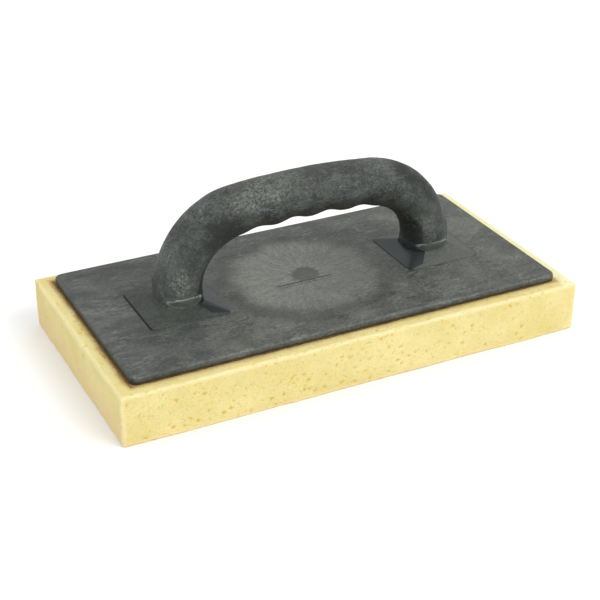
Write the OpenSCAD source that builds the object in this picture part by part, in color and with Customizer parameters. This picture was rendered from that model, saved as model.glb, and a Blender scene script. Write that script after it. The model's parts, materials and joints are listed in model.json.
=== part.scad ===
// Sponge float: a moulded plate with an arched handle, carrying a bonded block of sponge.
// Frame: +X along the length, +Y across the width, +Z up. Origin at the centre of the sponge's
// working face. All lengths are in millimetres.

/* [Sponge] */
// Length of the sponge block
sponge_l = 280; // [200:1:320]
// Width of the sponge block
sponge_w = 145; // [110:1:180]
// Thickness of the sponge block
sponge_h = 30; // [15:1:45]
// Radius of the sponge's upright corners
sponge_corner_r = 2.5; // [1:0.5:8]
// Bevel along the sponge's top and bottom edges
sponge_bevel = 0.8; // [0.2:0.1:3]

/* [Adhesive] */
// Thickness of the adhesive layer between sponge and plate
film_h = 0.8; // [0.2:0.1:1.5]
// How far the adhesive stops short of the plate's edge
film_inset = 0.5; // [0:0.1:3]

/* [Plate] */
// Length of the plate
plate_l = 262; // [190:1:310]
// Width of the plate
plate_w = 129; // [100:1:170]
// Thickness of the plate
plate_h = 4; // [3:0.5:8]
// Radius of the plate's corners
plate_corner_r = 5; // [2:0.5:15]
// Bevel along the plate's top edge
plate_bevel = 0.8; // [0.2:0.1:2]
// Radius of the round gate mark in the middle of the plate
gate_r = 8; // [4:0.5:15]
// Depth of the gate mark
gate_depth = 0.3; // [0.1:0.1:0.5]

/* [Handle] */
// Height of the grip's centreline above the working face, at mid length
grip_z = 87.1; // [75:0.1:110]
// Radius of the grip's gentle bow
bow_r = 385; // [250:5:800]
// Half of the angle the bow turns through
bow_angle = 6.3; // [3:0.1:9]
// Centreline radius of each shoulder
shoulder_r = 41; // [32:0.5:50]
// Angle each shoulder turns through
shoulder_angle = 80; // [70:0.5:83]
// Half of the bar's thickness, in the plane of the arch
bar_half_t = 13.6; // [10:0.1:17]
// Half of the bar's width, across the plate
bar_half_w = 14.9; // [11:0.1:19]

/* [Finger grooves] */
// Number of finger grooves under the grip
groove_n = 4; // [2:1:4]
// Distance from one groove to the next
groove_pitch = 22.7; // [18:0.1:26]
// Depth of each groove
groove_depth = 1.6; // [0.5:0.1:3]
// Radius of each groove's hollow
groove_r = 33; // [20:1:60]

/* [Feet] */
// Distance from mid length to the middle of each foot
foot_x = 80; // [60:0.5:95]
// Side of each square foot
foot_side = 47; // [36:0.5:60]
// Height of the upright step round each foot
foot_step = 0.5; // [0.2:0.1:1.5]
// Height of each foot's top above the plate
foot_rise = 4.4; // [2:0.1:8]
// How far the collar round each leg's base stands out from the bar
collar_out = 0.5; // [0.2:0.1:2]
// Height of the collar above the foot's top
collar_h = 4.8; // [2:0.1:8]
// How far the heel's upright face stands out from the bar's own section
heel_out = 0.15; // [0.05:0.05:0.4]
// Height of the heel above the foot's top
heel_h = 15; // [8:0.5:20]

/* [Screws] */
// Distance between the two screws in each foot
screw_spacing = 16; // [12:0.5:18]
// Outer diameter of the screw's thread
screw_d = 4.2; // [3:0.1:5]
// Diameter of the countersunk head
head_d = 8; // [6:0.1:9]
// Length of each screw
screw_len = 16; // [12:1:20]
// Pitch of the thread
thread_pitch = 1.4; // [0.8:0.1:2]

/* [Hidden] */
$fn = 96;

// Small gap between a screw and the hole it sits in.
fit_gap = 0.02;
// Overrun that carries a cut clear through a surface.
over = 1;

film_z = sponge_h;
plate_z = film_z + film_h;
plate_top = plate_z + plate_h;
plate_lower_bevel = 0.3;
foot_top = plate_top + foot_rise;

// The arch's centreline, as [x, z]: end of the bow, middle of the shoulder, start of the leg.
bow_c = [0, grip_z - bow_r];
bow_end = [bow_r * sin(bow_angle), bow_c[1] + bow_r * cos(bow_angle)];
shoulder_c = bow_end - shoulder_r * [sin(bow_angle), cos(bow_angle)];
leg_angle = bow_angle + shoulder_angle;
leg_start = shoulder_c + shoulder_r * [sin(leg_angle), cos(leg_angle)];
leg_lean = 90 - leg_angle;
leg_len = (leg_start[1] - plate_top - foot_rise / 2) / cos(leg_lean);
// Where the leg's centreline meets the foot's top.
leg_foot_x = leg_start[0] + (leg_start[1] - foot_top) * tan(leg_lean);

// Each stretch of the bar is this much slimmer all round than the one above, and laps into it.
seam = 0.03;
lap = 1;

// A groove's cut is kept to this height either side of the grip's underside.
groove_zone = 8;
underside_r = bow_r - bar_half_t;

foot_corner_r = 2;
foot_top_half = 12.3;
foot_top_corner = 14;
// Collar and heel start this far below the foot's top.
sink = 2;
// Low end of the heel's slanted rim, as [distance out from the leg's middle, height above the foot's top].
heel_rim = [10.5, 3];
heel_rim_slope = 4;

// Screw shape, from the head's outer face at z = 0.
head_rim = 0.3;
head_cone_h = (head_d - screw_d) / 2;
clear_d = screw_d + 0.6;
core_d = screw_d - 1.2;
tip_h = 2.4;
crest_half = 0.1;
thread_z0 = head_rim + head_cone_h + 0.7;
thread_n = floor((screw_len - tip_h - thread_z0) / thread_pitch);
recess_len = 4.2;
recess_w = 0.9;
recess_depth = 1.7;
pilot_extra = 0.8;

color_sponge = [0.94, 0.87, 0.58];
color_film = [0.36, 0.25, 0.12];
color_plate = [0.36, 0.37, 0.36];
color_handle = [0.31, 0.32, 0.32];
color_screw = [0.70, 0.71, 0.73];

// Outline of a bevelled slab seen from the side. reach is half its length.
function side_outline(reach, high, lo, hi) =
    [[lo - reach, 0], [reach - lo, 0], [reach, lo], [reach, high - hi],
     [reach - hi, high], [hi - reach, high], [-reach, high - hi], [-reach, lo]];

// Outline of a slab's rounded corner, turned about the corner's own axis.
function corner_outline(r, high, lo, hi) =
    [[0, 0], [r - lo, 0], [r, lo], [r, high - hi], [r - hi, high], [0, high]];

// A slab with rounded upright corners, bevelled by lo below and hi above.
module slab(len, wid, high, corner, lo, hi) {
    rotate([90, 0, 0])
        linear_extrude(wid - 2 * corner, center = true)
            polygon(side_outline(len / 2, high, lo, hi));
    rotate([90, 0, 90])
        linear_extrude(len - 2 * corner, center = true)
            polygon(side_outline(wid / 2, high, lo, hi));
    for (sx = [-1, 1])
        for (sy = [-1, 1])
            translate([sx * (len / 2 - corner), sy * (wid / 2 - corner), 0])
                rotate_extrude()
                    polygon(corner_outline(corner, high, lo, hi));
}

// Rectangle with rounded corners.
module rounded_rect(len, wid, corner) {
    square([len - 2 * corner, wid], center = true);
    square([len, wid - 2 * corner], center = true);
    for (sx = [-1, 1])
        for (sy = [-1, 1])
            translate([sx * (len / 2 - corner), sy * (wid / 2 - corner)])
                circle(corner);
}

// Section of the handle's bar: x is its thickness, y its width. grow enlarges it all round.
module bar_section(grow) {
    flat = bar_half_w - bar_half_t;
    square([2 * (bar_half_t + grow), 2 * flat], center = true);
    for (side = [-1, 1])
        translate([0, side * flat])
            circle(bar_half_t + grow);
}

// Part of a bent bar in the plane of the arch, turning from angle from_a to to_a about c.
module bent_bar(c, r, from_a, to_a, grow) {
    translate([c[0], 0, c[1]])
        rotate([90, 0, 0])
            rotate([0, 0, from_a])
                rotate_extrude(angle = to_a - from_a)
                    translate([r, 0])
                        bar_section(grow);
}

// Shoulder and leg on the right-hand side, each lapped into the stretch above it.
module half_arch() {
    lap_angle = lap / shoulder_r * 180 / PI;
    bent_bar(shoulder_c, shoulder_r, 90 - leg_angle, 90 - bow_angle + lap_angle, -seam);
    translate([leg_start[0] - lap * sin(leg_lean), 0, leg_start[1] + lap * cos(leg_lean)])
        rotate([0, 180 - leg_lean, 0])
            linear_extrude(leg_len + lap)
                bar_section(-2 * seam);
}

// A bank across the foot, sloping from half size reach to half size top.
module foot_bank(reach, top) {
    rotate([90, 0, 0])
        linear_extrude(2 * foot_side, center = true)
            polygon([[-reach, 0], [reach, 0], [reach, foot_step], [top, foot_rise],
                     [-top, foot_rise], [-reach, foot_step]]);
}

// Square foot with four sloping sides and a flatter slope down each corner.
module foot() {
    half = foot_side / 2;
    corner_reach = half * sqrt(2) - foot_corner_r / 2;
    translate([foot_x, 0, plate_top])
        intersection() {
            linear_extrude(foot_rise)
                rounded_rect(foot_side, foot_side, foot_corner_r);
            foot_bank(half + over / 10, foot_top_half);
            rotate([0, 0, 90])
                foot_bank(half + over / 10, foot_top_half);
            rotate([0, 0, 45])
                foot_bank(corner_reach, foot_top_corner);
            rotate([0, 0, 135])
                foot_bank(corner_reach, foot_top_corner);
        }
}

// Collar round the leg's base.
module collar() {
    translate([leg_foot_x, 0, foot_top - sink])
        linear_extrude(collar_h + sink)
            bar_section(collar_out);
}

// Upright heel on the leg's outer side, where the leg leans away above it.
module heel() {
    far = 3 * bar_half_t;
    intersection() {
        translate([leg_foot_x, 0, foot_top - sink])
            linear_extrude(heel_h + sink)
                bar_section(heel_out);
        translate([leg_foot_x, 0, foot_top])
            rotate([90, 0, 0])
                linear_extrude(4 * bar_half_w, center = true)
                    polygon([[heel_rim[0], -2 * sink], [far, -2 * sink], [far, far],
                             [heel_rim[0] + (far - heel_rim[1]) / heel_rim_slope, far], heel_rim]);
    }
}

// Hollow for one finger, at angle a along the bow.
module groove_cut(a) {
    hollow = underside_r + groove_depth - groove_r;
    pitch_angle = groove_pitch / underside_r * 180 / PI;
    translate([bow_c[0], 0, bow_c[1]])
        rotate([0, a, 0])
            intersection() {
                translate([0, 0, hollow])
                    rotate([90, 0, 0])
                        cylinder(h = 4 * bar_half_w, r = groove_r, center = true);
                translate([0, 0, underside_r])
                    cube([underside_r * 2 * tan(pitch_angle / 2), 3 * bar_half_w, 2 * groove_zone], center = true);
            }
}

// Pilot hole for one screw.
module pilot_cut(sx, sy) {
    translate([sx * foot_x, sy * screw_spacing / 2, plate_top - over])
        cylinder(h = plate_z + screw_len + pilot_extra - plate_top + over, d = screw_d + 2 * fit_gap);
}

// Countersunk clearance hole through the plate, from its underside.
module countersink_cut(sx, sy) {
    wide = head_d / 2 + fit_gap;
    narrow = clear_d / 2;
    translate([sx * foot_x, sy * screw_spacing / 2, plate_z])
        rotate_extrude()
            polygon([[0, -over], [wide, -over], [wide, head_rim], [narrow, head_rim + wide - narrow],
                     [narrow, plate_h + over], [0, plate_h + over]]);
}

// One self-tapping screw, its thread as rings, head downwards.
module screw(sx, sy) {
    r = screw_d / 2;
    core = core_d / 2;
    thread_end = thread_z0 + thread_n * thread_pitch;
    rings = [for (i = [0 : thread_n - 1], k = [0 : 2])
        [k == 0 ? core : r,
         thread_z0 + thread_pitch * (k == 0 ? i : i + 0.5) + (k == 1 ? -crest_half : k == 2 ? crest_half : 0)]];
    outline = concat([[0, 0], [head_d / 2, 0], [head_d / 2, head_rim], [r, head_rim + head_cone_h], [r, thread_z0]],
                     rings, [[core, thread_end], [core, screw_len - tip_h], [0, screw_len]]);
    translate([sx * foot_x, sy * screw_spacing / 2, plate_z])
        difference() {
            rotate_extrude()
                polygon(outline);
            for (turn = [0, 90])
                rotate([0, 0, turn])
                    translate([-recess_len / 2, -recess_w / 2, -over])
                        cube([recess_len, recess_w, recess_depth + over]);
        }
}

// Soft block that does the work.
module sponge_pad() {
    color(color_sponge)
        slab(sponge_l, sponge_w, sponge_h, sponge_corner_r, sponge_bevel, sponge_bevel);
}

// Contact adhesive that bonds the sponge to the plate.
module adhesive_film() {
    color(color_film)
        translate([0, 0, film_z])
            linear_extrude(film_h)
                rounded_rect(plate_l - 2 * film_inset, plate_w - 2 * film_inset, plate_corner_r - film_inset);
}

// Moulded plate with the gate mark on top and four countersunk holes.
module base_plate() {
    color(color_plate)
        difference() {
            translate([0, 0, plate_z])
                slab(plate_l, plate_w, plate_h, plate_corner_r, plate_lower_bevel, plate_bevel);
            translate([0, 0, plate_top - gate_depth])
                cylinder(h = gate_depth + over, r = gate_r);
            for (sx = [-1, 1])
                for (sy = [-1, 1])
                    countersink_cut(sx, sy);
        }
}

// Moulded arch with its two feet, drilled for the screws.
module handle() {
    color(color_handle)
        difference() {
            union() {
                bent_bar(bow_c, bow_r, 90 - bow_angle, 90 + bow_angle, 0);
                for (side = [0, 1])
                    mirror([side, 0, 0]) {
                        half_arch();
                        foot();
                        collar();
                        heel();
                    }
            }
            for (k = [0 : groove_n - 1])
                groove_cut((k - (groove_n - 1) / 2) * groove_pitch / underside_r * 180 / PI);
            for (sx = [-1, 1])
                for (sy = [-1, 1])
                    pilot_cut(sx, sy);
        }
}

module screw_left_front() {
    color(color_screw)
        screw(-1, -1);
}

module screw_left_rear() {
    color(color_screw)
        screw(-1, 1);
}

module screw_right_front() {
    color(color_screw)
        screw(1, -1);
}

module screw_right_rear() {
    color(color_screw)
        screw(1, 1);
}

sponge_pad();
adhesive_film();
base_plate();
handle();
screw_left_front();
screw_left_rear();
screw_right_front();
screw_right_rear();
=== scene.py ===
import itertools
import json
import math

import bmesh
import bpy
import numpy as np
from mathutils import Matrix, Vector

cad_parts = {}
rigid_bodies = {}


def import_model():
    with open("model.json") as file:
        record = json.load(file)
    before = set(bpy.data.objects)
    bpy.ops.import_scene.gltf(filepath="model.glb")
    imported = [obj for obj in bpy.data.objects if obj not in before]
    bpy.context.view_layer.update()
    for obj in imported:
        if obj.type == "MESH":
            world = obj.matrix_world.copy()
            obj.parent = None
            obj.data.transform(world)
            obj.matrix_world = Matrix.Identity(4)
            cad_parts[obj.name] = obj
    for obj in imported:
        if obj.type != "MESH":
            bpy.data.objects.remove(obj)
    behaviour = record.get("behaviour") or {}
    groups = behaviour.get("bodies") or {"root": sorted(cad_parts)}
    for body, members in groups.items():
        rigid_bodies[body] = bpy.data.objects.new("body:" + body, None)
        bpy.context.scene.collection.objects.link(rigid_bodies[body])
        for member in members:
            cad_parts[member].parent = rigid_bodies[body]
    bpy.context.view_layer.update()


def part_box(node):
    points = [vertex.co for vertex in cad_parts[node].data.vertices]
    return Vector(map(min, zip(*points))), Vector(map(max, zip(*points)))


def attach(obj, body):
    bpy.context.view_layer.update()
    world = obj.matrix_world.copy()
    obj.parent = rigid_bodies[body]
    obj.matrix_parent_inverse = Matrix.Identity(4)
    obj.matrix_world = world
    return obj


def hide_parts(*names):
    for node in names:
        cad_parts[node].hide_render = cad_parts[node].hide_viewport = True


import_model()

MM = 0.001
rng = np.random.default_rng(20260)

# ---------------------------------------------------------------- places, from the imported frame
sponge_lo, sponge_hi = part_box("sponge_pad")
film_lo, film_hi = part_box("adhesive_film")
plate_lo, plate_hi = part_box("base_plate")
handle_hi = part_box("handle")[1]
screw_lo, screw_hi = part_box("screw_right_front")

SPONGE = np.array([sponge_hi.x - sponge_lo.x, sponge_hi.y - sponge_lo.y, sponge_hi.z])
PLATE_HALF = ((plate_hi.x - plate_lo.x) / 2, (plate_hi.y - plate_lo.y) / 2)
PLATE_Z0, PLATE_Z1 = plate_lo.z, plate_hi.z
GRIP_TOP = handle_hi.z
FOOT_HALF = handle_hi.y
FOOT_X = handle_hi.x - FOOT_HALF
FOOT_RISE = 4.4 * MM
FOOT_TOP = PLATE_Z1 + FOOT_RISE
SCREW_X = (screw_lo.x + screw_hi.x) / 2
SCREW_Y = abs((screw_lo.y + screw_hi.y) / 2)
HEAD_R = (screw_hi.x - screw_lo.x) / 2


# ---------------------------------------------------------------- numbers and noise
HASH_PRIMES = np.array([73856093, 19349663, 83492791])


def smoothstep(a, b, v):
    """0 below a, 1 above b, smooth between."""
    t = np.clip((v - a) / (b - a), 0.0, 1.0)
    return t * t * (3 - 2 * t)


def value_noise(points, scale, seed):
    """Smooth noise from -1 to 1 at each point (n x 3 array, metres); scale is in metres."""
    q = points / scale
    base = np.floor(q).astype(np.int64)
    f = q - base
    f = f * f * (3 - 2 * f)
    out = np.zeros(len(points))
    for corner in itertools.product((0, 1), repeat=3):
        cell = (base + corner) * HASH_PRIMES
        h = cell[:, 0] ^ cell[:, 1] ^ cell[:, 2]
        h = (h ^ (seed * 2654435761)) & 0x7FFFFFFF
        h = (h * 1103515245 + 12345) & 0x7FFFFFFF
        h = ((h >> 7) ^ h) & 0xFFFFFF
        near = np.where(corner, f, 1 - f)
        out += (h / 0xFFFFFF * 2 - 1) * (near[:, 0] * near[:, 1] * near[:, 2])
    return out


# ---------------------------------------------------------------- meshes
def mesh_object(name, verts, faces):
    mesh = bpy.data.meshes.new(name)
    mesh.from_pydata([tuple(map(float, v)) for v in verts], [], faces)
    mesh.validate()
    obj = bpy.data.objects.new(name, mesh)
    bpy.context.scene.collection.objects.link(obj)
    bm = bmesh.new()
    bm.from_mesh(mesh)
    bmesh.ops.recalc_face_normals(bm, faces=bm.faces)
    bm.to_mesh(mesh)
    bm.free()
    for p in mesh.polygons:
        p.use_smooth = True
    return obj


def level(xy, z):
    """The points xy (n x 2) at height z, one height for all or one for each."""
    return np.column_stack([xy, np.broadcast_to(z, len(xy))])


def rings_to_mesh(name, rows):
    """Closed surface from rings of equal length, the first and last filled flat."""
    n = len(rows[0])
    faces = []
    for i in range(len(rows) - 1):
        for j in range(n):
            k = (j + 1) % n
            faces.append((i * n + j, i * n + k, (i + 1) * n + k, (i + 1) * n + j))
    faces.append(tuple(range(n)))
    base = (len(rows) - 1) * n
    faces.append(tuple(base + j for j in reversed(range(n))))
    return mesh_object(name, np.concatenate(rows), faces)


def rounded_outline(half_x, half_y, corner, per_corner, spacing):
    """Points round a rectangle with rounded corners, anticlockwise from the +X side."""
    out = []
    for cx, cy, a0 in ((1, 1, 0), (-1, 1, 90), (-1, -1, 180), (1, -1, 270)):
        centre = np.array([cx * (half_x - corner), cy * (half_y - corner)])
        for a in np.radians(np.linspace(a0, a0 + 90, per_corner)):
            out.append(centre + corner * np.array([math.cos(a), math.sin(a)]))
    full = []
    for i, p in enumerate(out):
        q = out[(i + 1) % len(out)]
        n = max(1, int(np.linalg.norm(q - p) / spacing))
        full += [p + (q - p) * k / n for k in range(n)]
    return np.array(full)


def coords(obj):
    co = np.zeros(len(obj.data.vertices) * 3)
    obj.data.vertices.foreach_get("co", co)
    return co.reshape(-1, 3)


def set_coords(obj, co):
    obj.data.vertices.foreach_set("co", np.asarray(co, np.float32).ravel())
    obj.data.update()


def float_attribute(obj, name, values):
    a = obj.data.attributes.new(name, "FLOAT", "POINT")
    a.data.foreach_set("value", np.asarray(values, np.float32))


def shade(obj, sharp_from):
    """Smooth shading, with sharp edges where the surface turns by more than sharp_from degrees."""
    for p in obj.data.polygons:
        p.use_smooth = True
    obj.data.set_sharp_from_angle(angle=math.radians(sharp_from))


def cut_holes(obj, profile):
    """Cuts four screw holes into obj, each turned from (radius, z) points that run upwards."""
    a = np.linspace(0, 2 * math.pi, 32, endpoint=False)
    circle = np.column_stack([np.cos(a), np.sin(a)])
    holes = []
    for x, y in itertools.product((-SCREW_X, SCREW_X), (-SCREW_Y, SCREW_Y)):
        hole = rings_to_mesh("hole", [level(circle * r + (x, y), z) for r, z in profile])
        holes.append(hole)
        mod = obj.modifiers.new("hole", "BOOLEAN")
        mod.operation = "DIFFERENCE"
        mod.solver = "EXACT"
        mod.object = hole
    bpy.context.view_layer.update()
    evaluated = obj.evaluated_get(bpy.context.evaluated_depsgraph_get())
    mesh = bpy.data.meshes.new_from_object(evaluated)
    obj.modifiers.clear()
    obj.data = mesh
    for hole in holes:
        bpy.data.objects.remove(hole)


# ---------------------------------------------------------------- handle, swept in one closed surface
BOW_R, BOW_A = 385 * MM, math.radians(6.3)
SHOULDER_R, SHOULDER_A = 41 * MM, math.radians(80)
# The bar's half thickness and half width, at the grip and at the legs.
BAR_TOP, BAR_LEG = 13.7 * MM, 13.3 * MM
BAR_TOP_W, BAR_LEG_W = 15.4 * MM, 14.7 * MM
COLLAR_OUT, COLLAR_H = 0.55 * MM, 4.8 * MM
GROOVE_PITCH, GROOVE_DEPTH, GROOVES = 22.7 * MM, 1.7 * MM, 4
HEEL_OUT, HEEL_H = 0.45 * MM, 15 * MM
HEEL_RIM_X, HEEL_RIM_Z, HEEL_SLOPE = 10.5 * MM, 3 * MM, 4.0
# The joint's step at the foot's outer edge and along its front and back.
OUTER_STEP, FRONT_STEP = 0.5 * MM, 0.12 * MM
# Where the foot's flat top ends, from its middle, and where the banks across the corners start.
FOOT_FLAT, FOOT_RIDGE = 12.3 * MM, 8.8 * MM
FOOT_SQUARENESS = 18
PILOT_R, PILOT_TOP = 2.12 * MM, 0.8 * MM
# Angles round the bar's section: 0 is its outer side, pi its finger side.
ROUND = np.linspace(0, 2 * math.pi, 144, endpoint=False)


def toward(angle):
    """Unit vector (x, z), turned by angle from straight up towards +X."""
    return np.array([math.sin(angle), math.cos(angle)])


def arch_centreline(step):
    """Distances, (x, z) points and outward normals along the right half, from mid grip to the foot's top."""
    bow_c = np.array([0.0, GRIP_TOP - BAR_TOP - BOW_R])
    shoulder_c = bow_c + BOW_R * toward(BOW_A) - SHOULDER_R * toward(BOW_A)
    lean = BOW_A + SHOULDER_A
    leg_start = shoulder_c + SHOULDER_R * toward(lean)
    down = np.array([math.cos(lean), -math.sin(lean)])
    shoulder_at = BOW_R * BOW_A
    leg_at = shoulder_at + SHOULDER_R * SHOULDER_A
    total = leg_at + (leg_start[1] - FOOT_TOP) / -down[1]
    distances = np.linspace(0, total, int(total / step) + 1)
    points, normals = [], []
    for v in distances:
        if v < shoulder_at:
            angle = v / BOW_R
            points.append(bow_c + BOW_R * toward(angle))
        elif v < leg_at:
            angle = BOW_A + (v - shoulder_at) / SHOULDER_R
            points.append(shoulder_c + SHOULDER_R * toward(angle))
        else:
            angle = lean
            points.append(leg_start + down * (v - leg_at))
        normals.append(toward(angle))
    return distances, np.array(points), np.array(normals)


arch = arch_centreline(0.8 * MM)
LEG_X = arch[1][-1][0]


def with_heel(x, y, z):
    """x and y, where points below the heel's slanted rim are moved out to an upright ellipse round LEG_X."""
    out_x = x - LEG_X
    e = np.sqrt((out_x / (BAR_LEG + HEEL_OUT)) ** 2 + (y / (BAR_LEG_W + HEEL_OUT)) ** 2)
    rim = np.minimum(HEEL_RIM_Z + HEEL_SLOPE * (out_x / e - HEEL_RIM_X), HEEL_H)
    grow = 1 - smoothstep(-0.6 * MM, 0.2 * MM, z - FOOT_TOP - rim)
    push = np.where((out_x > 0) & (e < 1), 1 + (1 / e - 1) * grow, 1.0)
    return LEG_X + out_x * push, y * push


def bar_rows():
    """Rings round the bar, from mid grip down the right leg."""
    rows = []
    for distance, p, n in zip(*arch):
        to_leg = smoothstep(0.25, 1.0, abs(n[0]))
        thick = BAR_TOP * (1 - to_leg) + BAR_LEG * to_leg
        wide = BAR_TOP_W * (1 - to_leg) + BAR_LEG_W * to_leg
        # The collar, with a small rounded ledge.
        collar = 0
        if n[0] > 0.9:
            ledge = smoothstep(COLLAR_H - 0.5 * MM, COLLAR_H + 0.1 * MM, p[1] - FOOT_TOP)
            collar = COLLAR_OUT * (1 - ledge)
        out = (thick + collar) * np.cos(ROUND)
        across = (wide + collar) * np.sin(ROUND)
        # Finger grooves wrap round the grip's lower half.
        if distance < GROOVES / 2 * GROOVE_PITCH:
            groove = GROOVE_DEPTH * 0.5 * (1 - math.cos(2 * math.pi * distance / GROOVE_PITCH))
            cut = 1 - groove / thick * smoothstep(-0.05, 0.75, -np.cos(ROUND))
            out, across = out * cut, across * (1 - (1 - cut) * 0.5)
        x, y, z = p[0] + n[0] * out, across, p[1] + n[1] * out
        if n[0] > 0.5:
            x, y = with_heel(x, y, z)
        rows.append(np.stack([x, y, z], 1))
    return rows


def foot_rows():
    """Rings from the collar's base out over the foot and down to the plate."""
    c, s = np.cos(ROUND), np.sin(ROUND)
    n = FOOT_SQUARENESS
    square = FOOT_HALF / (np.abs(c) ** n + np.abs(s) ** n) ** (1 / n)
    ring_x, ring_y = (BAR_LEG + COLLAR_OUT) * c, (BAR_LEG_W + COLLAR_OUT) * s
    # Four banks slope up from the sides, and four more across the corners.
    bank = (FOOT_RISE - OUTER_STEP) / (FOOT_HALF - FOOT_FLAT)
    to_corner = FOOT_HALF * math.sqrt(2)
    corner_bank = (FOOT_RISE - OUTER_STEP) / (to_corner - (FOOT_FLAT + FOOT_RIDGE) / math.sqrt(2))
    # The joint shows as a step on the outer edge and fades along the front and back.
    step = FRONT_STEP + (OUTER_STEP - FRONT_STEP) * smoothstep(0.55, 0.8, np.abs(c))
    rows = []
    for t in np.linspace(0, 1, 26)[1:] ** 0.9:
        x = ring_x * (1 - t) + square * c * t
        y = ring_y * (1 - t) + square * s * t
        from_middle = np.abs(x + (LEG_X - FOOT_X) * (1 - t))
        side = step + bank * (FOOT_HALF - np.maximum(from_middle, np.abs(y)))
        corner = step + corner_bank * (to_corner - (from_middle + np.abs(y)) / math.sqrt(2))
        z = np.minimum(np.minimum(side, corner), FOOT_RISE)
        rows.append(np.stack([LEG_X * (1 - t) + FOOT_X * t + x, y, PLATE_Z1 + z], 1))
    edge = rows[-1][:, :2]
    for drop in (0.25, 0.7, 1.0):
        rows.append(level(edge, PLATE_Z1 + step * (1 - drop)))
    return rows


def make_handle():
    right = bar_rows() + foot_rows()
    left = [r * np.array([-1, 1, 1]) for r in right[1:]][::-1]
    obj = rings_to_mesh("handle_arch", left + right)
    co = coords(obj)
    normals = np.zeros(co.size)
    obj.data.vertices.foreach_get("normal", normals)
    # The moulding is slightly uneven, more so on the bar than on the feet.
    on_bar = smoothstep(PLATE_Z1 + 8 * MM, PLATE_Z1 + 20 * MM, co[:, 2])
    bumps = 0.16 * value_noise(co, 9 * MM, 3) + 0.07 * value_noise(co, 3.1 * MM, 4)
    set_coords(obj, co + normals.reshape(-1, 3) * (bumps * on_bar * MM)[:, None])
    cut_holes(obj, [(PILOT_R, PLATE_Z1 - 1 * MM), (PILOT_R, screw_hi.z + PILOT_TOP)])
    shade(obj, 38)
    return obj


# ---------------------------------------------------------------- plate, rings from the rim to the gate mark
PLATE_CORNER, PLATE_ROUND, PLATE_CHAMFER = 5 * MM, 1.8 * MM, 0.35 * MM
DISC_R, GATE_R, GATE_DEPTH = 46 * MM, 8 * MM, 0.3 * MM
CLEAR_R = HEAD_R - 1.62 * MM
# The countersink's cutter starts below the plate, wider than the head, and narrows up to SINK_H.
SINK_OUT, SINK_BELOW, SINK_H = 0.52 * MM, 0.5 * MM, 1.92 * MM


def plate_ring(inset, z):
    """The plate's outline, moved in by inset; every ring has as many points as the outermost."""
    half_x, half_y = PLATE_HALF
    points = {"per_corner": 9, "spacing": 2.5 * MM}
    outer = rounded_outline(half_x, half_y, PLATE_CORNER, **points)
    corner = max(PLATE_CORNER - inset, 0.3 * MM)
    ring = rounded_outline(half_x - inset, half_y - inset, corner, **points)
    if len(ring) != len(outer):
        ring = outer * np.array([(half_x - inset) / half_x, (half_y - inset) / half_y])
    return level(ring, z)


def make_plate():
    rows = [plate_ring(PLATE_CHAMFER, PLATE_Z0), plate_ring(0.0, PLATE_Z0 + PLATE_CHAMFER)]
    for a in np.radians(np.linspace(0, 90, 9)):
        rows.append(plate_ring(PLATE_ROUND * (1 - math.cos(a)), PLATE_Z1 - PLATE_ROUND * (1 - math.sin(a))))
    # From the rim inwards the rings become circles, which step down into the gate mark.
    rim = rows[-1][:, :2]
    angle = np.arctan2(rim[:, 1], rim[:, 0])
    unit = np.stack([np.cos(angle), np.sin(angle)], 1)
    for t in np.linspace(0, 1, 24)[1:]:
        rows.append(level(rim * (1 - t) + unit * DISC_R * t, PLATE_Z1))
    for r in [*np.linspace(DISC_R, GATE_R + 0.6 * MM, 16)[1:], GATE_R + 0.1 * MM]:
        rows.append(level(unit * r, PLATE_Z1))
    for r, drop in ((GATE_R - 0.15 * MM, 0.9), (GATE_R - 0.5 * MM, 1), (GATE_R * 0.6, 1), (GATE_R * 0.25, 1)):
        rows.append(level(unit * r, PLATE_Z1 - GATE_DEPTH * drop))
    obj = rings_to_mesh("plate_moulding", rows)
    cut_holes(obj, [(HEAD_R + SINK_OUT, PLATE_Z0 - SINK_BELOW), (CLEAR_R, PLATE_Z0 + SINK_H),
                    (CLEAR_R, PLATE_Z1 + 1 * MM)])
    # A moulded sheet is never quite flat.
    co = coords(obj)
    top = smoothstep(PLATE_Z1 - 1.5 * MM, PLATE_Z1 - 0.4 * MM, co[:, 2])
    co[:, 2] += top * 0.05 * MM * value_noise(co, 26 * MM, 7)
    set_coords(obj, co)
    shade(obj, 50)
    return obj


# ---------------------------------------------------------------- adhesive, a film with an uneven bead
# The flat middle starts this far in from the edge.
FILM_EDGE = 1.6 * MM


def make_film():
    line = rounded_outline(*PLATE_HALF, PLATE_CORNER, per_corner=13, spacing=1.0 * MM)
    along = np.roll(line, -1, 0) - np.roll(line, 1, 0)
    along /= np.linalg.norm(along, axis=1)[:, None]
    out = np.stack([along[:, 1], -along[:, 0]], 1)
    flat = level(line, 0.0)
    wobble = -0.15 + 0.35 * value_noise(flat, 9 * MM, 11) + 0.20 * value_noise(flat, 2.3 * MM, 12)
    wobble = np.clip(wobble, -0.6, 0.35) * MM
    z0, z1 = film_lo.z, film_hi.z
    # The bead's section: height as a share of the film's, and how much of the wobble shows there.
    rows = []
    for height, bulge in ((0.0, 0.35), (0.12, 0.85), (0.5, 1.0), (0.85, 0.72), (1.0, 0.1)):
        reach = np.where(wobble > 0, wobble * bulge, wobble) - 0.25 * MM * (1 - bulge)
        rows.append(level(line + out * reach[:, None], z0 + (z1 - z0) * height))
    inner = line - out * FILM_EDGE
    return rings_to_mesh("adhesive_bead", [level(inner, z0), *rows, level(inner, z1)])


# ---------------------------------------------------------------- sponge block, cut foam with open pores
CELL = 0.8 * MM
# Cells this near the edge of the top or the underside are fine; the others are joined into larger ones.
BAND, TOP_STEP, UNDER_STEP = 16, 4, 2
SPONGE_EDGE = 1.1 * MM
PORES_PER_CM2 = 3.6


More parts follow.
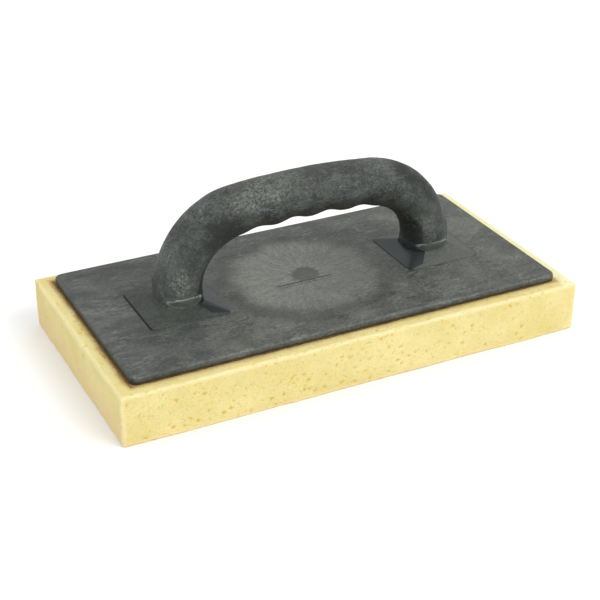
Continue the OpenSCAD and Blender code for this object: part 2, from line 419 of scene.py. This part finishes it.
def lattice_box(half):
    """Points and faces of a box round the origin, with a fine lattice on its sides and round its top."""
    nx, ny, nz = (round(2 * h / CELL) for h in half)
    nx, ny = nx - nx % 8, ny - ny % 4
    cells = np.array([nx, ny, nz])
    index, pts, faces = {}, [], []

    def vert(*at):
        if at not in index:
            index[at] = len(pts)
            pts.append(-half + 2 * half * at / cells)
        return index[at]

    for i in range(nx):
        for k in range(nz):
            faces.append((vert(i, 0, k), vert(i + 1, 0, k), vert(i + 1, 0, k + 1), vert(i, 0, k + 1)))
            faces.append((vert(i, ny, k), vert(i, ny, k + 1), vert(i + 1, ny, k + 1), vert(i + 1, ny, k)))
    for j in range(ny):
        for k in range(nz):
            faces.append((vert(0, j, k), vert(0, j, k + 1), vert(0, j + 1, k + 1), vert(0, j + 1, k)))
            faces.append((vert(nx, j, k), vert(nx, j + 1, k), vert(nx, j + 1, k + 1), vert(nx, j, k + 1)))
    i0, i1, j0, j1 = BAND, nx - BAND, BAND, ny - BAND
    for k, step, way in ((nz, TOP_STEP, 1), (0, UNDER_STEP, -1)):
        for i in range(nx):
            for j in range(ny):
                if not (i0 <= i < i1 and j0 <= j < j1):
                    quad = (vert(i, j, k), vert(i + 1, j, k), vert(i + 1, j + 1, k), vert(i, j + 1, k))
                    faces.append(quad[::way])
        # A large cell at the border takes in the fine cells' corners, so that no gap opens.
        for a in range(i0, i1, step):
            b = min(a + step, i1)
            for c in range(j0, j1, step):
                d = min(c + step, j1)
                loop = [(i, c) for i in (range(a, b) if c == j0 else (a,))]
                loop += [(b, j) for j in (range(c, d) if b == i1 else (c,))]
                loop += [(i, d) for i in (range(b, a, -1) if d == j1 else (b,))]
                loop += [(a, j) for j in (range(d, c, -1) if a == i0 else (d,))]
                faces.append(tuple(vert(i, j, k) for i, j in loop)[::way])
    return np.array(pts), faces


def unevenness(p, normal):
    """How far, in mm, each point of the cut faces stands out from a true box."""
    beyond_x, beyond_y = np.abs(p[:, 0]) - PLATE_HALF[0], np.abs(p[:, 1]) - PLATE_HALF[1]
    shift = 0.30 * value_noise(p, 34 * MM, 21) + 0.10 * value_noise(p, 6 * MM, 22)
    shift += 0.07 * value_noise(p, 1.7 * MM, 23)
    # The lower edge is more worn.
    on_side = 1 - np.clip((np.abs(normal[:, 2]) - 0.7) / 0.3, 0, 1)
    low = 1 - smoothstep(0.0, 7 * MM, p[:, 2])
    shift -= low * (0.15 + 0.25 * value_noise(p, 13 * MM, 24)) * on_side
    # The top lies flat under the plate, and the underside doesn't reach below the ground.
    free = smoothstep(0.0, 4 * MM, np.maximum(beyond_x, beyond_y))
    shift = np.where(normal[:, 2] > 0.7, shift * free - 0.02 * (1 - free), shift)
    return np.where(normal[:, 2] < -0.9, np.minimum(shift, 0.05) - 0.05, shift)


def open_pores(p):
    """Depth, in mm, of the pits at each point: pits of many sizes, some of them run together."""
    lx, ly, lz = SPONGE
    pit = np.zeros(len(p))
    area = 2 * (lx * ly + lx * lz + ly * lz) / (10 * MM) ** 2
    count = int(area * PORES_PER_CM2)
    seeds = rng.integers(0, len(p), count)
    sizes = 0.42 + 0.85 * rng.random(count) ** 3.0
    chances = rng.random(count)
    order = np.argsort(p[:, 0])
    sorted_x = p[order, 0]
    for seed, size, chance in zip(seeds, sizes, chances):
        c = p[seed]
        # Fewer towards the right end, on the left end and on the left half's ledge.
        likely = 0.56 + 0.40 * value_noise(c[None, :], 22 * MM, 31)[0] - 0.10 * c[2] / lz
        likely *= 1 - 0.6 * smoothstep(20 * MM, 100 * MM, c[0])
        if c[0] < -lx / 2 + 1 * MM:
            likely *= 0.25
        if c[2] > lz - 1.5 * MM and c[0] < 0:
            likely *= 0.4
        if chance > likely:
            continue
        reach = size * 1.7 * MM
        near = order[np.searchsorted(sorted_x, c[0] - reach):np.searchsorted(sorted_x, c[0] + reach)]
        stretch = 1 + 0.5 * (rng.random() - 0.3)
        q = (p[near] - c) * np.array([1 / stretch, 1 / stretch, stretch])
        ragged = 1 + 0.25 * value_noise(p[near], 0.9 * MM, 33)
        distance = np.linalg.norm(q, axis=1) / (size * MM) * ragged
        pit[near] = np.maximum(pit[near], np.clip(1 - distance ** 2, 0, 1) * size)
    return pit


def make_sponge():
    half = SPONGE / 2
    p, faces = lattice_box(half)
    to_edge = np.sort(half - np.abs(p), axis=1)[:, 1]
    # Soft edges and corners.
    core = np.clip(p, -(half - SPONGE_EDGE), half - SPONGE_EDGE)
    away = p - core
    normal = away / np.maximum(np.linalg.norm(away, axis=1), 1e-9)[:, None]
    p = core + normal * SPONGE_EDGE
    p[:, 2] += half[2]
    shift = unevenness(p, normal)
    pit = open_pores(p)
    under_plate = (np.abs(p[:, :2]) < np.array(PLATE_HALF) + 1 * MM).all(1)
    pit[(normal[:, 2] > 0.9) & under_plate] = 0
    obj = mesh_object("sponge_block", p + normal * ((shift - 0.9 * pit) * MM)[:, None], faces)
    float_attribute(obj, "pit", pit)
    float_attribute(obj, "ledge", (np.abs(coords(obj)[:, :2]) - PLATE_HALF).max(1) / MM)
    float_attribute(obj, "soft_edge_highlight", 1 - smoothstep(0.6 * MM, 2.8 * MM, to_edge))
    return obj


# ---------------------------------------------------------------- materials
def srgb(r, g, b):
    def lin(c):
        c /= 255
        return c / 12.92 if c <= 0.04045 else ((c + 0.055) / 1.055) ** 2.4
    return (lin(r), lin(g), lin(b), 1.0)


class Shader:
    """A material's node tree, the colour painted so far, and short calls for the nodes used here."""

    def __init__(self, name):
        self.mat = bpy.data.materials.new(name)
        self.mat.use_nodes = True
        self.tree = self.mat.node_tree
        self.bsdf = self.tree.nodes["Principled BSDF"]
        self.pos = self.tree.nodes.new("ShaderNodeTexCoord").outputs["Object"]
        self.x, self.y, self.z = self.split(self.pos)
        self.color = None

    def node(self, kind, inputs=None, **settings):
        node = self.tree.nodes.new(kind)
        for k, v in settings.items():
            setattr(node, k, v)
        for k, v in (inputs or {}).items():
            self.plug(node.inputs[k], v)
        return node

    def plug(self, socket, v):
        if isinstance(v, bpy.types.NodeSocket):
            self.tree.links.new(v, socket)
        else:
            socket.default_value = v

    def math(self, op, a, b=0.0, c=0.0):
        return self.node("ShaderNodeMath", {0: a, 1: b, 2: c}, operation=op).outputs[0]

    def plus(self, a, b):
        return self.math("ADD", a, b)

    def minus(self, a, b):
        return self.math("SUBTRACT", a, b)

    def times(self, first, *others):
        for v in others:
            first = self.math("MULTIPLY", first, v)
        return first

    def scaled(self, v, by, then_plus):
        return self.math("MULTIPLY_ADD", v, by, then_plus)

    def abs(self, v):
        return self.math("ABSOLUTE", v)

    def hypot(self, a, b):
        return self.math("SQRT", self.plus(self.times(a, a), self.times(b, b)))

    def band(self, v, a, b):
        """0 below a, 1 above b, smooth between; the other way round if a > b."""
        inputs = {"Value": v, "From Min": a, "From Max": b}
        return self.node("ShaderNodeMapRange", inputs, interpolation_type="SMOOTHSTEP").outputs[0]

    def noise(self, size, vec=None, detail=2.0, rough=0.5, twist=0.0):
        inputs = {"Vector": vec or self.pos, "Scale": 1 / size, "Detail": detail, "Roughness": rough,
                  "Distortion": twist}
        return self.node("ShaderNodeTexNoise", inputs).outputs["Fac"]

    def wobble(self, size, reach, **kind):
        """Noise from -reach to reach."""
        return self.scaled(self.noise(size, **kind), 2 * reach, -reach)

    def cells(self, size):
        """Distance to the nearest of some points scattered about size apart, as a share of size."""
        return self.node("ShaderNodeTexVoronoi", {"Vector": self.pos, "Scale": 1 / size}).outputs["Distance"]

    def join(self, x, y, z):
        return self.node("ShaderNodeCombineXYZ", {0: x, 1: y, 2: z}).outputs[0]

    def split(self, vec):
        return self.node("ShaderNodeSeparateXYZ", {0: vec}).outputs

    def vector(self, op, a, b):
        return self.node("ShaderNodeVectorMath", {0: a, 1: b}, operation=op).outputs[0]

    def facing(self):
        """The surface normal's x, y and z."""
        return self.split(self.node("ShaderNodeNewGeometry").outputs["Normal"])

    def attribute(self, name):
        return self.node("ShaderNodeAttribute", attribute_name=name).outputs["Fac"]

    def mix(self, share, a, b):
        node = self.node("ShaderNodeMix", data_type="RGBA")
        for socket, v in ((node.inputs["Factor"], share), (node.inputs[6], a), (node.inputs[7], b)):
            self.plug(socket, v)
        return node.outputs[2]

    def paint(self, color, *masks):
        """Lays color over what is painted so far, as strongly as the masks' product says."""
        self.color = self.mix(self.times(*masks), self.color, color)

    def bump(self, height, depth):
        return self.node("ShaderNodeBump", {"Height": height, "Strength": 1.0, "Distance": depth}).outputs[0]

    def finish(self, rough, normal=None, metallic=0.0, specular=0.5):
        self.plug(self.bsdf.inputs["Base Color"], self.color)
        self.plug(self.bsdf.inputs["Roughness"], rough)
        self.plug(self.bsdf.inputs["Metallic"], metallic)
        self.plug(self.bsdf.inputs["Specular IOR Level"], specular)
        if normal is not None:
            self.plug(self.bsdf.inputs["Normal"], normal)
        return self.mat


def foam_material():
    s = Shader("foam")
    pit, ledge, soft_edge_highlight = s.attribute("pit"), s.attribute("ledge"), s.attribute("soft_edge_highlight")
    top = s.band(s.facing()[2], 0.5, 0.9)
    s.color = s.mix(s.band(s.noise(28 * MM), 0.3, 0.7), srgb(212, 197, 132), srgb(220, 207, 148))
    s.paint(srgb(212, 192, 116), s.band(s.noise(4 * MM, detail=3, rough=0.6), 0.45, 0.75), 0.40)
    # Cells too small to model, then the modelled pits, the deepest darkened with painted shade.
    specks = s.times(s.band(s.cells(2.1 * MM), 0.20, 0.08), s.band(s.noise(7 * MM, detail=1), 0.44, 0.62))
    s.paint(srgb(204, 176, 84), specks, 0.40)
    s.paint(srgb(219, 188, 84), s.band(pit, 0.04, 0.5), 0.62)
    s.paint(srgb(188, 166, 84), s.band(pit, 0.62, 1.0), 0.55)
    # Tan lower edge, tan left face and paler edges, the paler edges a painted highlight.
    s.paint(srgb(222, 190, 138), s.band(s.z, 5 * MM, 0.5 * MM), s.band(s.noise(11 * MM), 0.3, 0.6), 0.55)
    # Painted shade: the left face's lower part in the greyer tone of the side turned from the light.
    left_face = s.band(s.x, sponge_lo.x + 4 * MM, sponge_lo.x + 1 * MM)
    low = s.band(s.plus(s.z, s.wobble(16 * MM, 8 * MM)), 26 * MM, 4 * MM)
    s.paint(srgb(222, 194, 150), left_face, low, 0.50)
    s.paint(srgb(230, 219, 172), soft_edge_highlight, 0.55)
    # The right end's ledge is paler: a painted highlight where it catches the light.
    s.paint(srgb(238, 236, 198), top, s.band(s.x, sponge_hi.x - 10 * MM, sponge_hi.x - 6 * MM), 0.6)
    # Stain and painted shade beside the plate (ledge is the distance from it in mm), strongest on the left
    # end.
    wob = s.wobble(9 * MM, 2.5, detail=3)
    left_end = s.band(s.x, sponge_lo.x + 13 * MM, sponge_lo.x + 8 * MM)
    stain_and_shade = s.scaled(left_end, 0.35, 0.35)
    s.paint(srgb(170, 124, 66), s.band(s.plus(ledge, wob), 4.4, 0.2), top, stain_and_shade)
    s.paint(srgb(104, 76, 38), s.band(s.scaled(wob, 0.3, ledge), 1.6, 0.2), top, stain_and_shade)
    # Small dark specks of mortar in it, fine and coarse.
    fine = s.times(s.band(s.cells(1.9 * MM), 0.30, 0.20), s.band(s.noise(5 * MM), 0.40, 0.52))
    near = s.band(s.plus(ledge, wob), 5.5, 1.5)
    s.paint(srgb(112, 84, 48), fine, top, near, s.scaled(left_end, 0.45, 0.25))
    coarse = s.times(s.band(s.cells(1.7 * MM), 0.16, 0.10), s.band(s.noise(6 * MM), 0.5, 0.62))
    s.paint(srgb(96, 72, 44), coarse, top, s.band(ledge, 6.0, 1.5), 0.7)
    walls = s.band(s.cells(0.75 * MM), 0.0, 0.45)
    height = s.plus(s.times(s.noise(0.9 * MM), 0.5), s.times(walls, 0.8))
    height = s.minus(height, s.times(specks, 1.2))
    return s.finish(0.92, s.bump(height, 0.30 * MM), specular=0.18)


def adhesive_material():
    s = Shader("dried_adhesive")
    s.color = s.mix(s.band(s.noise(5 * MM, detail=3), 0.35, 0.65), srgb(44, 32, 12), srgb(84, 60, 26))
    return s.finish(0.55, s.bump(s.noise(1.2 * MM), 0.15 * MM))


def streaks(s):
    """Wavy silvery flow lines, mostly along X, and the cloudy noise that they follow."""
    bent = s.vector("ADD", s.pos, s.join(0.0, s.wobble(30 * MM, 9 * MM, detail=1), 0.0))
    drawn_out = s.vector("MULTIPLY", bent, (0.28, 1.0, 1.0))
    cloud = s.noise(5.0 * MM, vec=drawn_out, detail=3, rough=0.62, twist=0.4)
    line = s.band(s.abs(s.minus(cloud, 0.5)), 0.035, 0.0)
    return s.times(line, s.band(s.noise(16 * MM), 0.40, 0.62)), cloud


def paint_shade_beside_feet(s, mask, much):
    """Painted shade: a dark line along each foot's outer edge, as long as the foot and where mask is 1."""
    along = s.band(s.abs(s.y), FOOT_HALF - 1 * MM, FOOT_HALF - 2 * MM)
    s.paint(srgb(16, 18, 16), mask, along, much)


def paint_flow_disc(s, speckle):
    """Flow pattern that spreads from the gate. Returns its rays, its disc and the spot on the gate mark."""
    r = s.hypot(s.x, s.y)
    r_safe = s.math("MAXIMUM", r, 0.5 * MM)
    unit = s.join(s.math("DIVIDE", s.x, r_safe), s.math("DIVIDE", s.y, r_safe), s.times(r, 4.0))
    rays = s.noise(1 / 20, vec=unit, detail=4, rough=0.7)
    ragged_r = s.plus(r, s.wobble(1 / 3, 8 * MM, vec=unit, detail=3))
    disc = s.times(s.band(ragged_r, 50 * MM, 34 * MM), s.band(ragged_r, 7 * MM, 11 * MM))
    grain = s.scaled(speckle, 0.5, s.times(rays, 0.5))
    pale = s.mix(s.band(grain, 0.32, 0.68), srgb(92, 95, 90), srgb(138, 140, 133))
    # Stronger on the left and at the back.
    lean = s.band(s.minus(s.x, s.times(s.y, 0.6)), 34 * MM, -34 * MM)
    s.paint(pale, disc, s.scaled(lean, 0.42, 0.46))
    ring = s.times(s.band(ragged_r, 40 * MM, 48 * MM), s.band(ragged_r, 60 * MM, 50 * MM))
    s.paint(srgb(44, 47, 45), ring, s.band(s.noise(22 * MM), 0.3, 0.6), 0.40)
    s.paint(srgb(136, 138, 131), s.band(ragged_r, 20 * MM, 9 * MM), s.band(rays, 0.42, 0.62), 0.42)
    spot = s.band(s.plus(r, s.wobble(3 * MM, 1 * MM)), 9.2 * MM, 6.6 * MM)
    s.paint(srgb(62, 64, 62), spot, 0.70)
    return rays, disc, spot


def plate_material():
    s = Shader("plate_plastic")
    line, cloud = streaks(s)
    speckle = s.noise(1.6 * MM, detail=3, rough=0.75)
    blotch = s.noise(24 * MM, detail=4, rough=0.6)
    s.color = s.mix(s.band(cloud, 0.3, 0.7), srgb(58, 62, 57), srgb(77, 80, 74))
    s.paint(srgb(102, 105, 100), s.band(speckle, 0.44, 0.68), 0.55)
    s.paint(srgb(48, 51, 49), s.band(speckle, 0.48, 0.30), 0.55)
    s.paint(srgb(47, 49, 45), s.band(cloud, 0.40, 0.26), 0.45)
    s.paint(srgb(118, 120, 113), s.band(blotch, 0.50, 0.66), 0.26)
    s.paint(srgb(44, 46, 43), s.band(blotch, 0.50, 0.34), 0.26)
    # The left end is smoother and bluer, the blue tint a painted reflection of the darker surroundings, with
    # dark smudges.
    left = s.times(s.band(s.plus(s.x, s.wobble(40 * MM, 30 * MM)), -62 * MM, -104 * MM), 0.22)
    s.paint(srgb(50, 54, 58), left)
    smudge = s.noise(15 * MM, vec=s.vector("MULTIPLY", s.pos, (0.6, 1.0, 1.0)), detail=4, rough=0.6)
    s.paint(srgb(34, 36, 34), s.band(smudge, 0.48, 0.64), s.band(s.x, -40 * MM, -90 * MM), 0.45)
    s.paint(srgb(146, 148, 141), line, s.scaled(left, -0.2, 0.30))
    rays, disc, spot = paint_flow_disc(s, speckle)
    # Two thin scores in front of the gate.
    ends = s.times(s.band(s.x, -23 * MM, -20 * MM), s.band(s.x, 15 * MM, 12 * MM))
    waved_y = s.plus(s.y, s.wobble(20 * MM, 0.8 * MM, detail=1))
    for y, wide, much in ((-7.2 * MM, 0.9 * MM, 0.85), (-10.0 * MM, 0.6 * MM, 0.5)):
        s.paint(srgb(30, 31, 32), s.band(s.abs(s.minus(waved_y, y)), wide, wide * 0.4), ends, much)
    # Painted shade on the plate beside each foot's outer step.
    from_foot = s.minus(s.abs(s.x), FOOT_X + FOOT_HALF)
    beside = s.times(s.band(from_foot, 0.7 * MM, 0.3 * MM), s.band(from_foot, -1 * MM, -0.5 * MM))
    paint_shade_beside_feet(s, beside, 1.0)
    # Painted shade: the edge is darker where it turns over, most at the ends, and where it meets the sponge.
    face_x, _, up = s.facing()
    at_ends = s.band(s.abs(face_x), 0.3, 0.8)
    s.paint(srgb(34, 33, 28), s.band(up, 0.80, 0.25), s.scaled(at_ends, 0.55, 0.20))
    s.paint(srgb(40, 36, 22), s.band(s.z, PLATE_Z0 + 1.3 * MM, PLATE_Z0 + 0.7 * MM), 0.7)
    rough = s.minus(s.scaled(cloud, 0.16, 0.48), s.times(spot, 0.12))
    height = s.plus(s.times(cloud, 0.6), s.times(speckle, 0.35))
    height = s.plus(height, s.times(rays, disc, 0.3))
    return s.finish(rough, s.bump(height, 0.10 * MM), specular=0.45)


# Dark and pale patches on the arch, partly grime and wear, partly painted shade and highlight; from the
# front: x, z, half length and half height in mm, tilt in degrees, strength.
DARK_PATCHES = ((-56, 82, 20, 11, 30, 0.85), (-74, 66, 10, 12, 0, 0.20), (60, 90, 15, 6, -30, 0.85),
         (76, 77, 15, 6, -58, 0.95), (84, 60, 9, 6, -70, 0.75), (10, 80, 46, 7, 0, 0.30))
PALE_PATCHES = ((-34, 95, 30, 7, 12, 0.55), (-66, 93, 15, 6, 45, 0.35), (46, 98, 14, 6, -8, 0.35),
          (-82, 53, 8, 10, 0, 0.80), (-89, 72, 9, 14, 0, 0.45), (72, 54, 7, 12, 15, 0.50))


def paint_patches(s, patches, color, ragged, mask):
    """Ragged-edged ellipses of one colour, from a table such as DARK_PATCHES."""
    for x, z, long, high, tilt, much in patches:
        dx, dz = s.minus(s.x, x * MM), s.minus(s.z, z * MM)
        c, t = math.cos(math.radians(tilt)), math.sin(math.radians(tilt))
        along = s.scaled(dx, c / (long * MM), s.times(dz, t / (long * MM)))
        over = s.scaled(dx, -t / (high * MM), s.times(dz, c / (high * MM)))
        inside = s.band(s.scaled(ragged, 1.6, s.hypot(along, over)), 1.1, 0.35)
        s.paint(color, inside, mask, much)


def paint_collar_mark(s, off_x, off_y, lift):
    """Lens-shaped mark on the collar's front and back: a slanted facet that is not modelled, painted in a
    lighter tone as light falls on it, and a bright rim round its edge, part wear and part painted highlight;
    distances in mm.
    """
    across = s.times(s.minus(off_x, LEG_X / MM), 1 / 10.2)
    over = s.times(s.minus(lift, 2.7), 1 / 2.4)
    lens = s.plus(s.hypot(across, over), s.wobble(4 * MM, 0.15))
    face = s.times(s.band(off_y, 7.5, 9.5), s.band(lift, 0.0, 0.4))
    s.paint(srgb(72, 76, 72), s.band(lens, 1.0, 0.9), face, 0.4)
    rim = s.times(s.band(s.abs(s.minus(lens, 1.0)), 0.16, 0.04), face)
    wear_and_highlight = s.times(s.scaled(s.band(lift, 2.0, 4.0), 0.5, 0.25), s.band(s.noise(3 * MM), 0.30, 0.55))
    s.paint(srgb(150, 154, 148), rim, wear_and_highlight, s.scaled(s.band(s.x, 1 * MM, -1 * MM), 0.4, 0.6))


def handle_material():
    s = Shader("handle_plastic")
    line, cloud = streaks(s)
    blotch = s.noise(13 * MM, detail=3, rough=0.55)
    speckle = s.noise(1.3 * MM, detail=4, rough=0.8)
    scuff = s.noise(3.2 * MM, detail=4, rough=0.7, twist=0.6)
    face_x, _, up = s.facing()
    s.color = s.mix(s.band(blotch, 0.34, 0.66), srgb(25, 30, 27), srgb(52, 57, 53))
    s.paint(srgb(92, 97, 92), s.band(speckle, 0.46, 0.66), 0.46)
    s.paint(srgb(94, 98, 93), s.band(scuff, 0.52, 0.68), 0.36)
    s.paint(srgb(25, 29, 27), s.band(scuff, 0.47, 0.32), 0.45)
    # Paler on the grip's top and shoulders: rubbed wear, and painted light on the faces that look up.
    high = s.band(s.z, PLATE_Z1 + 26 * MM, PLATE_Z1 + 58 * MM)
    s.paint(srgb(116, 118, 113), high, s.band(up, 0.15, 0.95), s.scaled(blotch, 1.0, 0.1), 0.12)
    ragged = s.minus(s.noise(8 * MM, detail=5, rough=0.65), 0.5)
    flecks = s.band(s.scaled(scuff, 0.2, s.times(speckle, 0.8)), 0.38, 0.68)
    # Dark and pale patches: grime and wear mixed with painted shade and highlight.
    paint_patches(s, DARK_PATCHES, srgb(17, 21, 19), ragged, 1.0)
    paint_patches(s, PALE_PATCHES, srgb(134, 138, 131), ragged, flecks)
    s.paint(srgb(92, 96, 91), s.band(s.z, 84 * MM, 58 * MM), 0.22)
    # Painted shade on the legs' inner sides, and a browner tone on the faces that look down, under the grip.
    outward = s.times(face_x, s.math("SIGN", s.x))
    s.paint(srgb(18, 21, 18), s.band(outward, -0.45, -0.65), s.band(s.z, 84 * MM, 66 * MM), 0.80)
    above_feet = s.band(s.z, PLATE_Z1 + 20 * MM, PLATE_Z1 + 30 * MM)
    s.paint(srgb(54, 42, 28), s.band(up, -0.35, -0.75), above_feet, 0.55)
    s.paint(srgb(140, 142, 138), line, 0.16)
    dried = s.times(s.band(s.cells(2.6 * MM), 0.20, 0.12), s.band(s.noise(9 * MM), 0.54, 0.64))
    s.paint(srgb(150, 148, 140), dried, 0.22)
    # From here on, distances from the middle and above the foot's top are in mm.
    off_x, off_y = (s.math("DIVIDE", s.abs(v), MM) for v in (s.x, s.y))
    lift = s.math("DIVIDE", s.minus(s.z, FOOT_TOP), MM)
    # The feet have the plate's tone, the right one a paler one.
    foot = s.band(lift, 0.5, 0.1)
    tone = s.mix(s.band(cloud, 0.3, 0.7), srgb(40, 44, 40), srgb(57, 61, 56))
    tone = s.mix(s.times(s.band(speckle, 0.44, 0.68), 0.45), tone, srgb(84, 88, 82))
    pale = s.times(s.band(s.x, -1 * MM, 1 * MM), s.scaled(speckle, 0.9, 0.05))
    s.paint(s.mix(pale, tone, srgb(104, 106, 100)), foot, 0.85)
    # Painted shade on the foot's outer step.
    foot_end = (FOOT_X + FOOT_HALF) / MM
    paint_shade_beside_feet(s, s.band(off_x, foot_end - 0.7, foot_end - 0.4), 0.9)
    paint_collar_mark(s, off_x, off_y, lift)

    def inside_line(x, y, fall):
        """How far |y| is inside the line that runs through (x, y) and comes in by fall per mm outwards."""
        return s.minus(s.scaled(off_x, -fall, y + fall * x), off_y)

    # Smooth faces on the feet's inner sides, dark with their own unworn tone and with painted shade from the
    # arch above.
    inner = s.math("MINIMUM", inside_line(57, 23.4, 0.28), inside_line(69, 18, 1.3))
    smooth = s.times(s.band(inner, -0.25, 0.25), foot)
    s.paint(srgb(40, 46, 46), smooth, 0.92)
    rough = s.minus(s.scaled(blotch, 0.2, 0.50), s.times(smooth, 0.24))
    height = s.plus(s.times(speckle, 0.9), s.times(s.noise(0.45 * MM, detail=1), 0.35))
    height = s.plus(height, s.times(scuff, 1.6))
    height = s.times(height, s.scaled(smooth, -0.85, 1.0))
    return s.finish(rough, s.bump(height, 0.22 * MM), specular=0.36)


def steel_material():
    s = Shader("zinc_plated_steel")
    cloud = s.noise(1.5 * MM, detail=3)
    s.color = s.mix(s.band(cloud, 0.35, 0.65), srgb(176, 178, 180), srgb(206, 204, 196))
    rough = s.scaled(s.noise(3 * MM), 0.2, 0.22)
    return s.finish(rough, s.bump(s.noise(0.4 * MM), 0.02 * MM), metallic=1.0)


def paper_material():
    s = Shader("studio_floor")
    s.color = (0.9, 0.9, 0.9, 1.0)
    return s.finish(0.9, specular=0.1)


# ---------------------------------------------------------------- pieces
sponge = make_sponge()
sponge.data.materials.append(foam_material())
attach(sponge, "root")
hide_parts("sponge_pad")

film = make_film()
film.data.materials.append(adhesive_material())
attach(film, "root")
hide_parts("adhesive_film")

plate = make_plate()
plate.data.materials.append(plate_material())
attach(plate, "root")
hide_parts("base_plate")

handle = make_handle()
handle.data.materials.append(handle_material())
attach(handle, "root")
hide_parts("handle")

# The screws stay the CAD's own, in a material of their own.
steel = steel_material()
for obj in bpy.data.objects:
    if obj.name.startswith("screw_") and obj.type == "MESH":
        for slot in obj.material_slots:
            slot.link = "OBJECT"
            slot.material = steel


# ---------------------------------------------------------------- floor and light
bpy.ops.mesh.primitive_plane_add(size=8)
floor = bpy.context.object
floor.name = "floor"
floor.data.materials.append(paper_material())

scene = bpy.context.scene
scene.view_settings.view_transform = "Standard"


def studio_world():
    """Even, slightly cool light, brighter from above."""
    world = bpy.data.worlds.new("studio")
    world.use_nodes = True
    nodes, links = world.node_tree.nodes, world.node_tree.links
    split = nodes.new("ShaderNodeSeparateXYZ")
    links.new(nodes.new("ShaderNodeTexCoord").outputs["Generated"], split.inputs[0])
    strength = nodes.new("ShaderNodeMapRange")
    for socket, v in (("From Min", -0.1), ("From Max", 0.9), ("To Min", 0.70), ("To Max", 1.05)):
        strength.inputs[socket].default_value = v
    links.new(split.outputs[2], strength.inputs["Value"])
    links.new(strength.outputs[0], nodes["Background"].inputs["Strength"])
    nodes["Background"].inputs["Color"].default_value = (0.985, 0.99, 1.0, 1.0)
    return world


def area_light(name, at, target, size, power, color):
    data = bpy.data.lights.new(name, "AREA")
    data.shape = "SQUARE"
    data.size = size
    data.energy = power
    data.color = color
    obj = bpy.data.objects.new(name, data)
    scene.collection.objects.link(obj)
    obj.location = at
    obj.rotation_euler = (Vector(target) - Vector(at)).to_track_quat("-Z", "Y").to_euler()


scene.world = studio_world()
area_light("key", (0.9, -1.5, 1.5), (0, 0, 0.03), 1.6, 30, (1.0, 0.98, 0.93))
area_light("fill", (-1.6, -0.3, 0.7), (0, 0, 0.02), 1.2, 5, (0.88, 0.93, 1.0))


# ---------------------------------------------------------------- camera, at the photograph's viewing angle
AIM = Vector((-0.0090, -0.0117, 0.0255))
AZIMUTH, ELEVATION, DISTANCE = math.radians(-26.45), math.radians(28.48), 0.7983
LENS, SENSOR = 83.5, 36

flat = math.cos(ELEVATION)
back = Vector((math.sin(AZIMUTH) * flat, -math.cos(AZIMUTH) * flat, math.sin(ELEVATION)))
cam_data = bpy.data.cameras.new("camera")
cam_data.lens = LENS
cam_data.sensor_width = SENSOR
cam = bpy.data.objects.new("camera", cam_data)
scene.collection.objects.link(cam)
cam.location = AIM + back * DISTANCE
cam.rotation_euler = (-back).to_track_quat("-Z", "Y").to_euler()
scene.camera = cam
